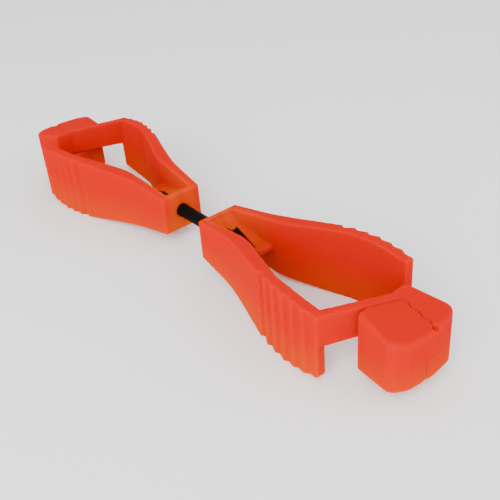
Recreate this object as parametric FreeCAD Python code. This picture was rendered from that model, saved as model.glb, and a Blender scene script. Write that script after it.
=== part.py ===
"""Double-ended glove clip: two moulded spring clips on a snap-in swivel connector.

Units are millimetres. X runs along the connector, Y across the loops, +Z up. The origin is the
middle of the connector. clip_a lies on +X. clip_b is clip_a turned half a turn about Z, and each
clip looks the same after half a turn about X, so one arm is modelled and placed four times.
"""
import FreeCAD, Part
import math
import os

V = FreeCAD.Vector
os.makedirs("parts", exist_ok=True)

# ---- driving dimensions -------------------------------------------------------------------
HALF_LENGTH = 80.0        # origin to a clip's tip: the whole part is 160 mm long
ROD_GAP = 8.2             # origin to a base's rod-side face
ROD_RADIUS = 1.85
BORE_CLEARANCE = 0.05     # radial, so the clip swivels on the rod
ROOT_X = 26.0             # where the bending arms leave the base
ROOT_GAP = 0.05           # saw-cut gap between base and arm, in place of the solid root
STRAP = [(ROOT_X, 4.0), (34.0, 3.6), (44.0, 2.9)]   # arm thickness at stations along X
RIM_END_X = 9.7           # inner face of the raised rim on the rod side of the base
RIM_HALF_GAP = 3.9        # half the distance between the base's side walls at that rim
WEB_END_X = 25.0          # loop-side face of the base's web
WEB_FLOOR = [(RIM_END_X, 4.9), (13.6, 2.75), (22.4, 0.8), (WEB_END_X, 0.8)]   # half-thickness
ARM_END_X = 61.7          # cut end of each arm's free half
MID_GAP = 0.1             # each half stays this far from the middle plane z = 0
BAR_WIDTH_X = 2.4         # crossbar width measured along X
BAR_LEAN = math.radians(21.0)
SLIT = 0.25               # gap between a crossbar and the other jaw
SEAM_GAP = 0.06           # each jaw's set-back from the seam line

# Half-width of a clip's outer outline at stations along X, up to the first grip rib.
OUTLINE = [(ROD_GAP, 6.2), (14.0, 6.85), (22.0, 7.85), (28.0, 9.5), (34.0, 11.5), (41.0, 13.9)]
ARM_END_HALF_WIDTH = 15.5

# Half-height of a clip's side outline: narrow at the rod, widest at the grips.
RISE = [(ROD_GAP, 5.6), (14.0, 6.4), (22.0, 7.5), (28.0, 8.1), (36.0, 8.9), (44.0, 9.5)]
GRIP_END_X = 52.0
GRIP_HALF_HEIGHT = RISE[-1][1]
TIP_HALF_HEIGHT = 6.1

# Grip ribs: saw teeth on the outer face of each arm, steep side towards the tip.
RIB_PITCH = 3.4
RIB_DEPTH = 0.65
RIB_RUN = 0.9             # length of the steep side
RIB_BULGE = [13.9, 14.9, 15.5, 15.9, 16.1, 16.1]   # half-width at each rib's crest

# Jaws: the block at the tip, split by a zigzag seam.
JAW_SIDE_START = (66.2, 7.8)
JAW_CORNER = (77.0, 10.0)
TIP_SHOULDER = (79.3, 6.6)
TIP_FLAT = 1.5            # half-width of the blunt point of the tip
CORNER_RADIUS = 2.6
NOTCH_RADIUS = 0.9        # small nick where each seam meets the tip's upper or lower rim
NOTCH_LENGTH = 1.6
NOTCH_RAISE = 0.2         # nick's axis above the rim
RIM_RADIUS = 0.9          # rounding of the jaws' upper and lower rims
SEAM_AT_BAR = 3.0         # seam offset from the axis at the crossbar
SEAM_AT_TIP = 1.7         # and at the tip
TOOTH_COUNT = 3
TOOTH_DEPTH = 0.7

# Snap head of the connector and its pocket in the base.
BARB_X = 13.4
BARB_RADIUS = 3.1
BARB_LAND = 0.5           # length of the barb's cylindrical crest
BARB_CHAMFER = 0.1
BARB_UNDERCUT_X = 14.6    # where the swept-back barb meets the rod
HEAD_END_X = 22.4
HEAD_END_RADIUS = 0.9
HEAD_CLEARANCE = 0.15
TONGUE_END_X = 15.2       # narrow roof over the middle of the barb
TONGUE_HALF_WIDTH = 0.8
TONGUE_HALF_HEIGHT = 3.75

TALL = 14.0               # half-height of raw extrusions before they are trimmed
WIDE = 40.0               # half-width of the cutting tools
PAST_TIP = 100.0          # X of cutting tools' far ends


# ---- helpers --------------------------------------------------------------------------------
def spline(points):
    curve = Part.BSplineCurve()
    curve.interpolate(points)
    return curve


def prism(edges, low, high):
    """Solid between z = low and z = high over a closed outline given as edges at z = 0."""
    face = Part.Face(Part.Wire(Part.__sortEdges__(edges)))
    face.translate(V(0, 0, low))
    return face.extrude(V(0, 0, high - low))


def polygon_prism(points, low, high):
    corners = [V(x, y, 0) for x, y in points]
    return prism([Part.makeLine(a, b) for a, b in zip(corners, corners[1:] + corners[:1])], low, high)


def box(x0, x1, y0, y1, z0, z1):
    return Part.makeBox(x1 - x0, y1 - y0, z1 - z0, V(x0, y0, z0))


def half_turn(shape, axis):
    turned = shape.copy()
    turned.rotate(V(0, 0, 0), axis, 180)
    return turned


def bar_x(y, outer):
    """X of the upper crossbar's inner or outer face at a given Y."""
    start = ARM_END_X if outer else ARM_END_X - BAR_WIDTH_X
    return start + math.tan(BAR_LEAN) * (y + ARM_END_HALF_WIDTH)


# ---- outlines shared by the nodes --------------------------------------------------------------
outer_curve = spline([V(x, -y, 0) for x, y in OUTLINE])


def outer_y(x):
    """Y of the near outer face at a station before the ribs."""
    line = Part.makeLine(V(x, -WIDE, 0), V(x, 0, 0))
    distance, pairs, _ = outer_curve.toShape().distToShape(line)
    return pairs[0][0].y


def strap_thickness(x):
    """Straight-line reading of the STRAP stations."""
    for (x0, t0), (x1, t1) in zip(STRAP, STRAP[1:]):
        if x <= x1:
            return t0 + (t1 - t0) * max(x - x0, 0.0) / (x1 - x0)
    return STRAP[-1][1]


def inner_points():
    """Inner face of the arm: the outer outline moved inwards by the strap's thickness."""
    crests = [(OUTLINE[-1][0] + i * RIB_PITCH, w - 0.5 * RIB_DEPTH) for i, w in enumerate(RIB_BULGE)]
    path = [(ROOT_X, -outer_y(ROOT_X))] + [p for p in OUTLINE[:-1] if p[0] > ROOT_X] + crests
    result = []
    for i, (x, y) in enumerate(path):
        before, after = path[max(i - 1, 0)], path[min(i + 1, len(path) - 1)]
        run, rise = after[0] - before[0], after[1] - before[1]
        length = math.hypot(run, rise)
        thick = strap_thickness(x)
        result.append(V(x + thick * rise / length, -(y - thick * run / length), 0))
    result[0].x = ROOT_X + ROOT_GAP
    return result


def side_profile():
    """Everything inside the clip's side outline, for trimming raw prisms to height."""
    top = spline([V(x, -WIDE, z) for x, z in RISE]).toShape()
    grip = V(GRIP_END_X, -WIDE, GRIP_HALF_HEIGHT)
    tip = V(HALF_LENGTH, -WIDE, TIP_HALF_HEIGHT)
    upper = [top, Part.makeLine(V(RISE[-1][0], -WIDE, GRIP_HALF_HEIGHT), grip), Part.makeLine(grip, tip)]
    lower = [edge.mirror(V(0, 0, 0), V(0, 0, 1)) for edge in upper]
    ends = [Part.makeLine(V(x, -WIDE, -z), V(x, -WIDE, z)) for x, z in (RISE[0], (tip.x, tip.z))]
    face = Part.Face(Part.Wire(Part.__sortEdges__(upper + lower + ends)))
    return face.extrude(V(0, 2 * WIDE, 0))


def block_outline():
    """Plan corners of the two jaws together, from the near side round the tip to the far side."""
    near = [JAW_SIDE_START, JAW_CORNER, TIP_SHOULDER, (HALF_LENGTH, TIP_FLAT)]
    return [(x, -y) for x, y in near] + [(x, y) for x, y in reversed(near)]


def seam_points():
    """Zigzag between the jaws in the upper half, from the crossbar to past the tip."""
    start = V(bar_x(SEAM_AT_BAR, True), SEAM_AT_BAR, 0)
    end = V(HALF_LENGTH, SEAM_AT_TIP, 0)
    steps = 2 * TOOTH_COUNT + 1
    points = [V(start.x - 6.0, SEAM_AT_BAR, 0)]
    for i in range(steps + 1):
        point = start + (end - start) * (i / steps)
        inside = 0 < i < steps
        offset = TOOTH_DEPTH * (0.5 if i % 2 else -0.5) if inside else 0.0
        points.append(point + V(0, offset, 0))
    points.append(V(HALF_LENGTH + 2, SEAM_AT_TIP, 0))
    return points


# ---- nodes ----------------------------------------------------------------------------------
def head_outline(clearance):
    """X and radius of the snap head's profile, or of its pocket when there is a clearance."""
    crest = BARB_RADIUS + clearance
    return [
        (HEAD_END_X + clearance, 0), (HEAD_END_X + clearance, HEAD_END_RADIUS + clearance),
        (BARB_X + BARB_LAND, crest), (BARB_X - clearance, crest - BARB_CHAMFER),
    ]


def revolved(outline):
    """Solid of revolution about the X axis from a closed outline of X and radius."""
    wire = Part.makePolygon([V(x, 0, r) for x, r in outline + outline[:1]])
    return Part.Face(wire).revolve(V(0, 0, 0), V(1, 0, 0), 360)


def make_connector():
    """Round rod with a swept-back barbed head at each end."""
    half = revolved([(0, 0)] + head_outline(0) + [(BARB_UNDERCUT_X, ROD_RADIUS), (0, ROD_RADIUS)])
    return half.fuse(half_turn(half, V(0, 0, 1))).removeSplitter()


def above_floor():
    """Space above the base's web, between its side walls."""
    root_gap = -inner_points()[0].y
    plan = [(RIM_END_X, RIM_HALF_GAP), (ROOT_X + 1, root_gap)]
    between_walls = polygon_prism(
        [(x, -y) for x, y in plan] + [(x, y) for x, y in reversed(plan)], -TALL, TALL)
    side = WEB_FLOOR + [(WEB_END_X, -TALL), (ROOT_X + 1, -TALL), (ROOT_X + 1, TALL), (RIM_END_X, TALL)]
    wire = Part.makePolygon([V(x, -WIDE, z) for x, z in side + side[:1]])
    return Part.Face(wire).extrude(V(0, 2 * WIDE, 0)).common(between_walls)


def make_base(trim):
    """Web with the snap pocket, between side walls that reach to the arms' roots."""
    root = V(ROOT_X, outer_y(ROOT_X), 0)
    near = outer_curve.toShape(outer_curve.FirstParameter, outer_curve.parameter(root))
    far = near.mirror(V(0, 0, 0), V(0, 1, 0))
    ends = [Part.makeLine(V(x, -y, 0), V(x, y, 0)) for x, y in (OUTLINE[0], (ROOT_X, -root.y))]
    body = prism([near, far] + ends, -TALL, TALL).common(trim)
    space = above_floor()
    body = body.cut(space).cut(half_turn(space, V(1, 0, 0)))
    body = body.fuse(box(BARB_X - 1, TONGUE_END_X, -TONGUE_HALF_WIDTH, TONGUE_HALF_WIDTH,
                         -TONGUE_HALF_HEIGHT, TONGUE_HALF_HEIGHT))
    bore = Part.makeCylinder(ROD_RADIUS + BORE_CLEARANCE, BARB_X, V(0, 0, 0), V(1, 0, 0))
    pocket = revolved([(BARB_X - HEAD_CLEARANCE, 0)] + head_outline(HEAD_CLEARANCE))
    return body.cut(bore).cut(pocket).removeSplitter()


def strap_outline():
    """Closed plan outline of one arm: smooth root, saw-tooth grip, square end."""
    crest_x = OUTLINE[-1][0]
    smooth = outer_curve.copy()
    start = smooth.parameter(V(ROOT_X + ROOT_GAP, outer_y(ROOT_X + ROOT_GAP), 0))
    edges = [smooth.toShape(start, smooth.LastParameter)]
    teeth = [V(crest_x, -RIB_BULGE[0], 0)]
    for i, width in enumerate(RIB_BULGE):
        crest = V(crest_x + i * RIB_PITCH, -width, 0)
        if i:
            teeth.append(crest)
        teeth.append(crest + V(RIB_RUN, RIB_DEPTH, 0))
    teeth.append(V(ARM_END_X, -ARM_END_HALF_WIDTH, 0))
    inner = inner_points()
    end_inner = V(ARM_END_X, inner[-1].y, 0)
    teeth.append(end_inner)
    if inner[-1].x < ARM_END_X - 0.01:
        teeth.append(inner[-1])
    edges += [Part.makeLine(a, b) for a, b in zip(teeth, teeth[1:])]
    edges.append(spline(inner).toShape())
    edges.append(Part.makeLine(inner[0], smooth.value(start)))
    return edges


def make_jaw_block(trim):
    """Both jaws as one block, its plan corners and its upper and lower rims rounded."""
    block = polygon_prism(block_outline(), -TALL, TALL)
    corners = [
        e for e in block.Edges
        if abs(e.tangentAt(e.FirstParameter).z) > 0.9
        and abs(e.Vertexes[0].X - JAW_CORNER[0]) < 0.01
    ]
    block = block.makeFillet(CORNER_RADIUS, corners).common(trim)
    rims = [
        e for e in block.Edges
        if e.BoundBox.ZLength < TIP_HALF_HEIGHT and e.BoundBox.XMax > JAW_SIDE_START[0] + 0.01
    ]
    return block.makeFillet(RIM_RADIUS, rims)


def make_arm(trim):
    """The near arm: strap, upper crossbar and the far jaw, which the seam parts from its twin."""
    strap = prism(strap_outline(), -TALL, TALL)

    reach = JAW_CORNER[1] + 2
    low_y = -ARM_END_HALF_WIDTH
    bar = polygon_prism(
        [(bar_x(low_y, False), low_y), (bar_x(low_y, True), low_y),
         (bar_x(reach, True), reach), (bar_x(reach, False), reach)], MID_GAP, TALL)
    far_side = JAW_SIDE_START[1] + (JAW_CORNER[1] - JAW_SIDE_START[1]) * (
        (bar_x(JAW_SIDE_START[1], True) - JAW_SIDE_START[0]) / (JAW_CORNER[0] - JAW_SIDE_START[0]))
    bar = bar.common(box(0, PAST_TIP, -WIDE, far_side - RIM_RADIUS, -TALL, TALL))

    block = make_jaw_block(trim)
    seam = seam_points()

    # Upper half: all of the block beyond the seam, with the bar running into it.
    upper_seam = [(p.x, p.y + SEAM_GAP) for p in seam]
    upper = polygon_prism(upper_seam + [(upper_seam[-1][0], WIDE), (upper_seam[0][0], WIDE)],
                          MID_GAP, TALL)
    upper = block.common(upper)

    # Lower half: beyond the mirrored seam, and clear of the other arm's lower crossbar.
    lower_seam = [(p.x, -p.y + SEAM_GAP) for p in seam]
    lower = polygon_prism(lower_seam + [(lower_seam[-1][0], WIDE), (lower_seam[0][0], WIDE)],
                          -TALL, -MID_GAP)
    clear = [(bar_x(-y, True) + SLIT, y) for y in (WIDE, -WIDE)]
    beyond_other_bar = polygon_prism(clear + [(PAST_TIP, -WIDE), (PAST_TIP, WIDE)], -TALL, TALL)
    lower = block.common(lower)
    lower = lower.common(beyond_other_bar)

    # The two halves of this jaw join through the middle, where both lie beyond both seams.
    bridge_y = SEAM_AT_BAR + TOOTH_DEPTH
    middle = block.common(box(bar_x(-bridge_y, True) + SLIT, PAST_TIP, bridge_y, WIDE, -MID_GAP, MID_GAP))
    middle = middle.common(beyond_other_bar)
    jaw = upper.fuse(middle).fuse(lower)
    for side in (1, -1):
        start = V(HALF_LENGTH - NOTCH_LENGTH, side * SEAM_AT_TIP, side * (TIP_HALF_HEIGHT + NOTCH_RAISE))
        jaw = jaw.cut(Part.makeCylinder(NOTCH_RADIUS, 2 * NOTCH_LENGTH, start, V(1, 0, 0)))
    return strap.fuse(bar).fuse(jaw).common(trim).removeSplitter()


trim = side_profile()
base = make_base(trim)
arm = make_arm(trim)
nodes = {
    "connector": make_connector(),
    "clip_a_base": base,
    "clip_a_arm_upper": arm,
    "clip_a_arm_lower": half_turn(arm, V(1, 0, 0)),
}
for name in ("base", "arm_upper", "arm_lower"):
    nodes["clip_b_" + name] = half_turn(nodes["clip_a_" + name], V(0, 0, 1))

for name, shape in nodes.items():
    solids = shape.Solids
    if len(solids) != 1 or not solids[0].isValid():
        raise RuntimeError("%s is not one valid solid (%d)" % (name, len(solids)))
    solids[0].exportStep("parts/%s.step" % name)
    size = solids[0].BoundBox
    print(name, "volume %.1f" % solids[0].Volume, "x %.2f..%.2f" % (size.XMin, size.XMax),
          "y %.2f..%.2f" % (size.YMin, size.YMax), "z %.2f..%.2f" % (size.ZMin, size.ZMax))
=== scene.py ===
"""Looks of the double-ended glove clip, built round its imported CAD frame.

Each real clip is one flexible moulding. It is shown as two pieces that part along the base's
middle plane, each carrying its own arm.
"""

import math

import bmesh
import bpy
from mathutils import Matrix, Vector
from mathutils.bvhtree import BVHTree


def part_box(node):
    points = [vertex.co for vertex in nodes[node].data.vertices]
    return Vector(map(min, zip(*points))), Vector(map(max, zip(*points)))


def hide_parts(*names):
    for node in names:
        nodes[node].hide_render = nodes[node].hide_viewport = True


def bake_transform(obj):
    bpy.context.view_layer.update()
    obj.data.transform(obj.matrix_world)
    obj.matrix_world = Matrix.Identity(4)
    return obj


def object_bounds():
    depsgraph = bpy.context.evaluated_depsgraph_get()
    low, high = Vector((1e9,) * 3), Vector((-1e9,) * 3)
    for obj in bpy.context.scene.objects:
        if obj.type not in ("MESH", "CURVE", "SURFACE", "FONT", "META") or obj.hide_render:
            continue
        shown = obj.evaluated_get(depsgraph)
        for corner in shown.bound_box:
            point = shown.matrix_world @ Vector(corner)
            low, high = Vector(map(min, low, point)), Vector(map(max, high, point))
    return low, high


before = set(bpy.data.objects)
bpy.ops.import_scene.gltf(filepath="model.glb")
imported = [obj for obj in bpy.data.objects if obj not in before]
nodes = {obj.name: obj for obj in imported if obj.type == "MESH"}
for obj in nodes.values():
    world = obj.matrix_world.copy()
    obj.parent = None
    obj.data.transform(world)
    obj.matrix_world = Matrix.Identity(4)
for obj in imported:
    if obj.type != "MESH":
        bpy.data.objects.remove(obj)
cad_low, cad_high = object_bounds()
MM = 0.001

# ---- clip mouldings ------------------------------------------------------------------------
VOXEL = 0.215 * MM        # mesh cell of a moulding
ROOT_OVERLAP = 0.5 * MM   # how far an arm's root is sunk into the base before they are joined
BASE_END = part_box("clip_a_base")[1].x
ROOT_TAPER = 0.27         # slope of the arm's outer face at its root
JAW_START = 0.7 * cad_high.x
CRISP_WITHIN = 0.25 * MM  # surface this near the twin arm keeps its sharp edges
SOFT_FROM = 0.9 * MM      # and from here on it is softened in full
LEAST_SOFTENING = 0.04
WELD = 0.001 * MM         # vertices this close are one
ROOT_FACE = 0.02 * MM     # depth within which an arm's vertices belong to its root face
PAST_BASE = 1 * MM        # the cut along y = 0 reaches this far beyond the base


def closed_copy(node):
    """A bmesh of a CAD node's surface with its split vertices joined."""
    bm = bmesh.new()
    bm.from_mesh(nodes[node].data)
    bmesh.ops.remove_doubles(bm, verts=bm.verts, dist=WELD)
    return bm


def apply_modifiers(obj):
    graph = bpy.context.evaluated_depsgraph_get()
    mesh = bpy.data.meshes.new_from_object(obj.evaluated_get(graph))
    obj.modifiers.clear()
    old, obj.data = obj.data, mesh
    bpy.data.meshes.remove(old)


def new_object(name, mesh):
    obj = bpy.data.objects.new(name, mesh)
    bpy.context.scene.collection.objects.link(obj)
    return obj


def soften_edges(obj):
    """Rounds the moulding's edges, except where it closes against its twin arm."""
    twin = BVHTree.FromPolygons([v.co[:] for v in nodes["clip_a_arm_lower"].data.vertices],
                                [p.vertices[:] for p in nodes["clip_a_arm_lower"].data.polygons])
    group = obj.vertex_groups.new(name="soft")
    for v in obj.data.vertices:
        gap = twin.find_nearest(v.co, SOFT_FROM)[3] if v.co.x > JAW_START else SOFT_FROM
        weight = 1.0 if gap is None else (gap - CRISP_WITHIN) / (SOFT_FROM - CRISP_WITHIN)
        group.add([v.index], min(max(weight, LEAST_SOFTENING), 1.0), "REPLACE")
    soften = obj.modifiers.new("soften", "SMOOTH")
    soften.factor, soften.iterations = 0.5, 10
    soften.vertex_group = group.name
    apply_modifiers(obj)
    obj.vertex_groups.clear()


def moulding():
    """Clip A's base and near arm as one rounded moulding, cut along y = 0 inside the base."""
    bm = closed_copy("clip_a_base")
    arm = closed_copy("clip_a_arm_upper")
    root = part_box("clip_a_arm_upper")[0].x
    wall = 0.8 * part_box("clip_a_base")[0].y
    for v in arm.verts:
        if v.co.x < root + ROOT_FACE:
            v.co += Vector((-ROOT_OVERLAP, ROOT_TAPER * ROOT_OVERLAP if v.co.y < wall else 0, 0))
    arm_mesh = bpy.data.meshes.new("arm")
    arm.to_mesh(arm_mesh)
    bm.from_mesh(arm_mesh)
    mesh = bpy.data.meshes.new("moulding")
    bm.to_mesh(mesh)
    obj = new_object("moulding", mesh)
    remesh = obj.modifiers.new("voxels", "REMESH")
    remesh.mode = "VOXEL"
    remesh.voxel_size = VOXEL
    remesh.use_smooth_shade = True
    apply_modifiers(obj)
    soften_edges(obj)

    bm = bmesh.new()
    bm.from_mesh(obj.data)
    near_base = [f for f in bm.faces if f.calc_center_median().x < BASE_END + PAST_BASE]
    edges = list({e for f in near_base for e in f.edges})
    verts = list({v for f in near_base for v in f.verts})
    geom = near_base + edges + verts
    bmesh.ops.bisect_plane(bm, geom=geom, plane_co=(0, 0, 0), plane_no=(0, 1, 0), dist=WELD)
    gone = [f for f in bm.faces
            if f.calc_center_median().y > 0 and f.calc_center_median().x < BASE_END + PAST_BASE]
    bmesh.ops.delete(bm, geom=gone, context="FACES")
    rims = [e for e in bm.edges if e.is_boundary]
    filled = bmesh.ops.holes_fill(bm, edges=rims, sides=0)
    for f in bm.faces:
        f.smooth = True
    for f in filled["faces"]:
        f.smooth = False
        for e in f.edges:
            e.smooth = False
    bmesh.ops.triangulate(bm, faces=filled["faces"])
    bm.to_mesh(obj.data)
    return obj


HALF_TURNS = {
    "clip_a_half_upper": Matrix.Identity(4),
    "clip_a_half_lower": Matrix.Rotation(math.pi, 4, "X"),
    "clip_b_half_upper": Matrix.Rotation(math.pi, 4, "Z"),
    "clip_b_half_lower": Matrix.Rotation(math.pi, 4, "Y"),
}


# ---- materials -----------------------------------------------------------------------------
def material(name):
    mat = bpy.data.materials.new(name)
    mat.use_nodes = True
    tree = mat.node_tree
    return mat, tree, tree.nodes["Principled BSDF"]


def node(tree, kind, **values):
    made = tree.nodes.new(kind)
    for key, value in values.items():
        if key in made.inputs:
            made.inputs[key].default_value = value
        else:
            setattr(made, key, value)
    return made


def axis_mask(tree, value, start, end):
    """0 where a coordinate is at start, 1 at end, smooth between."""
    mask = node(tree, "ShaderNodeMapRange")
    mask.interpolation_type = "SMOOTHSTEP"
    mask.inputs["From Min"].default_value = start
    mask.inputs["From Max"].default_value = end
    tree.links.new(value, mask.inputs["Value"])
    return mask.outputs["Result"]


def maths(tree, operation, first, second=None):
    made = node(tree, "ShaderNodeMath", operation=operation)
    for socket, value in zip(made.inputs, (first, second)):
        if isinstance(value, (int, float)):
            socket.default_value = value
        elif value is not None:
            tree.links.new(value, socket)
    return made.outputs[0]


def mixed_colour(tree, amount, first, second):
    made = node(tree, "ShaderNodeMix", data_type="RGBA")
    tree.links.new(amount, made.inputs["Factor"])
    for socket, value in ((made.inputs[6], first), (made.inputs[7], second)):
        if isinstance(value, tuple):
            socket.default_value = value
        else:
            tree.links.new(value, socket)
    return made.outputs[2]


def orange_plastic():
    """Translucent satin orange with painted glow: amber low down and on the base's floor; painted
    highlights pale the rims.
    """
    mat, tree, shader = material("orange_elastomer")
    place = node(tree, "ShaderNodeTexCoord").outputs["Object"]
    parts = node(tree, "ShaderNodeSeparateXYZ")
    tree.links.new(place, parts.inputs[0])
    clouds = node(tree, "ShaderNodeTexNoise", Scale=70.0, Detail=3.0, Roughness=0.5)
    tree.links.new(place, clouds.inputs["Vector"])
    # Painted glow: the amber mixed in low down and on the base's floor stands for light shining through
    # the plastic; the noise varies it at random.
    low = axis_mask(tree, parts.outputs["Z"], 0.003, -0.0095)
    along = maths(tree, "ABSOLUTE", parts.outputs["X"])
    base_floor_glow_mask = maths(tree, "MULTIPLY", axis_mask(tree, along, 0.030, 0.016),
                  axis_mask(tree, maths(tree, "ABSOLUTE", parts.outputs["Y"]), 0.0065, 0.0030))
    painted_glow = maths(tree, "ADD", maths(tree, "MULTIPLY", low, 0.55), maths(tree, "MULTIPLY", base_floor_glow_mask, 0.75))
    painted_glow = maths(tree, "MULTIPLY", painted_glow, maths(tree, "ADD", clouds.outputs["Fac"], 0.5))
    colour = mixed_colour(tree, painted_glow, DEEP_ORANGE, PAINTED_GLOW_AMBER)
    # Painted highlight: sharp, pointy edges are paled towards a lighter salmon.
    painted_rim_highlight = axis_mask(tree, node(tree, "ShaderNodeNewGeometry").outputs["Pointiness"], 0.56, 0.68)
    colour = mixed_colour(tree, painted_rim_highlight, colour, PAINTED_RIM_HIGHLIGHT)
    tree.links.new(colour, shader.inputs["Base Color"])

    grain = node(tree, "ShaderNodeTexNoise", Scale=2600.0, Detail=2.0, Roughness=0.55)
    bump = node(tree, "ShaderNodeBump", Strength=0.12, Distance=0.00008)
    tree.links.new(place, grain.inputs["Vector"])
    tree.links.new(grain.outputs["Fac"], bump.inputs["Height"])
    tree.links.new(bump.outputs["Normal"], shader.inputs["Normal"])
    shader.inputs["Roughness"].default_value = 0.48
    shader.inputs["Specular IOR Level"].default_value = 0.003
    shader.inputs["Subsurface Weight"].default_value = 0.75
    shader.inputs["Subsurface Radius"].default_value = (1.0, 0.45, 0.10)
    shader.inputs["Subsurface Scale"].default_value = 0.0032
    return mat


def black_plastic():
    """Satin black nylon with a fine moulded grain."""
    mat, tree, shader = material("black_nylon")
    place = node(tree, "ShaderNodeTexCoord").outputs["Object"]
    grain = node(tree, "ShaderNodeTexNoise", Scale=1800.0, Detail=3.0)
    bump = node(tree, "ShaderNodeBump", Strength=0.15, Distance=0.00005)
    tree.links.new(place, grain.inputs["Vector"])
    colour = mixed_colour(tree, grain.outputs["Fac"], (0.002, 0.002, 0.0016, 1), (0.005, 0.005, 0.004, 1))
    tree.links.new(colour, shader.inputs["Base Color"])
    tree.links.new(grain.outputs["Fac"], bump.inputs["Height"])
    tree.links.new(bump.outputs["Normal"], shader.inputs["Normal"])
    shader.inputs["Roughness"].default_value = 0.42
    shader.inputs["Specular IOR Level"].default_value = 0.02
    return mat


DEEP_ORANGE = (0.50, 0.0035, 0.0004, 1)
# Painted glow colour, mixed in where light is painted as shining through the plastic.
PAINTED_GLOW_AMBER = (0.52, 0.052, 0.0004, 1)
# Painted highlight colour that pales the sharp rims.
PAINTED_RIM_HIGHLIGHT = (0.52, 0.013, 0.004, 1)
orange = orange_plastic()
black = black_plastic()

master = moulding()
for name, turn in HALF_TURNS.items():
    clip, arm = name[:6], name[-5:]
    mesh = master.data.copy()
    mesh.transform(turn)
    mesh.materials.clear()
    mesh.materials.append(orange)
    half = new_object(name, mesh)
    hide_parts(clip + "_base", clip + "_arm_" + arm)
    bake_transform(half)
bpy.data.objects.remove(master)

connector = nodes["connector"]
connector.data.materials.clear()
connector.data.materials.append(black)

# ---- floor, light and camera ---------------------------------------------------------------
floor_mesh = bpy.data.meshes.new("floor")
FLOOR_HALF_SIZE = 4.0
FLOOR_GAP = 0.02 * MM
floor_corners = [(x * FLOOR_HALF_SIZE, y * FLOOR_HALF_SIZE, cad_low.z - FLOOR_GAP)
                 for x, y in ((-1, -1), (1, -1), (1, 1), (-1, 1))]
floor_mesh.from_pydata(floor_corners, [], [(0, 1, 2, 3)])
floor = new_object("floor", floor_mesh)
floor_mat, _, floor_shader = material("floor")
floor_shader.inputs["Base Color"].default_value = (0.92, 0.92, 0.92, 1)
floor_shader.inputs["Roughness"].default_value = 0.9
floor.data.materials.append(floor_mat)

world = bpy.context.scene.world or bpy.data.worlds.new("World")
bpy.context.scene.world = world
world.use_nodes = True
background = world.node_tree.nodes["Background"]
background.inputs["Color"].default_value = (1, 1, 1, 1)
background.inputs["Strength"].default_value = 1.35


def softbox(name, place, size, watts):
    data = bpy.data.lights.new(name, "AREA")
    data.shape, data.size, data.energy = "DISK", size, watts
    obj = bpy.data.objects.new(name, data)
    bpy.context.scene.collection.objects.link(obj)
    obj.location = place
    obj.rotation_mode = "QUATERNION"
    obj.rotation_quaternion = Vector(place).to_track_quat("Z", "Y")


softbox("key", (0.32, -0.46, 0.36), 0.6, 6.5)
softbox("fill", (0.6, 0.35, 0.5), 0.7, 2.0)

CAMERA_PLACE = (0.1521, -0.09974, 0.10475)
camera_data = bpy.data.cameras.new("camera")
camera_data.lens = 54.67
camera_data.sensor_width = 36.0
camera_data.clip_start, camera_data.clip_end = 0.01, 10.0
camera = bpy.data.objects.new("camera", camera_data)
bpy.context.scene.collection.objects.link(camera)
right = Vector((0.6403, 0.7648, -0.0707))
azimuth, elevation = math.radians(52.66), math.radians(32.57)
level = math.cos(elevation)
back = Vector((math.sin(azimuth) * level, -math.cos(azimuth) * level, math.sin(elevation)))
right = (right - back * right.dot(back)).normalized()
up = back.cross(right)
camera.matrix_world = Matrix.Translation(CAMERA_PLACE) @ Matrix(
    ((right.x, up.x, back.x, 0), (right.y, up.y, back.y, 0), (right.z, up.z, back.z, 0), (0, 0, 0, 1)))
bpy.context.scene.camera = camera
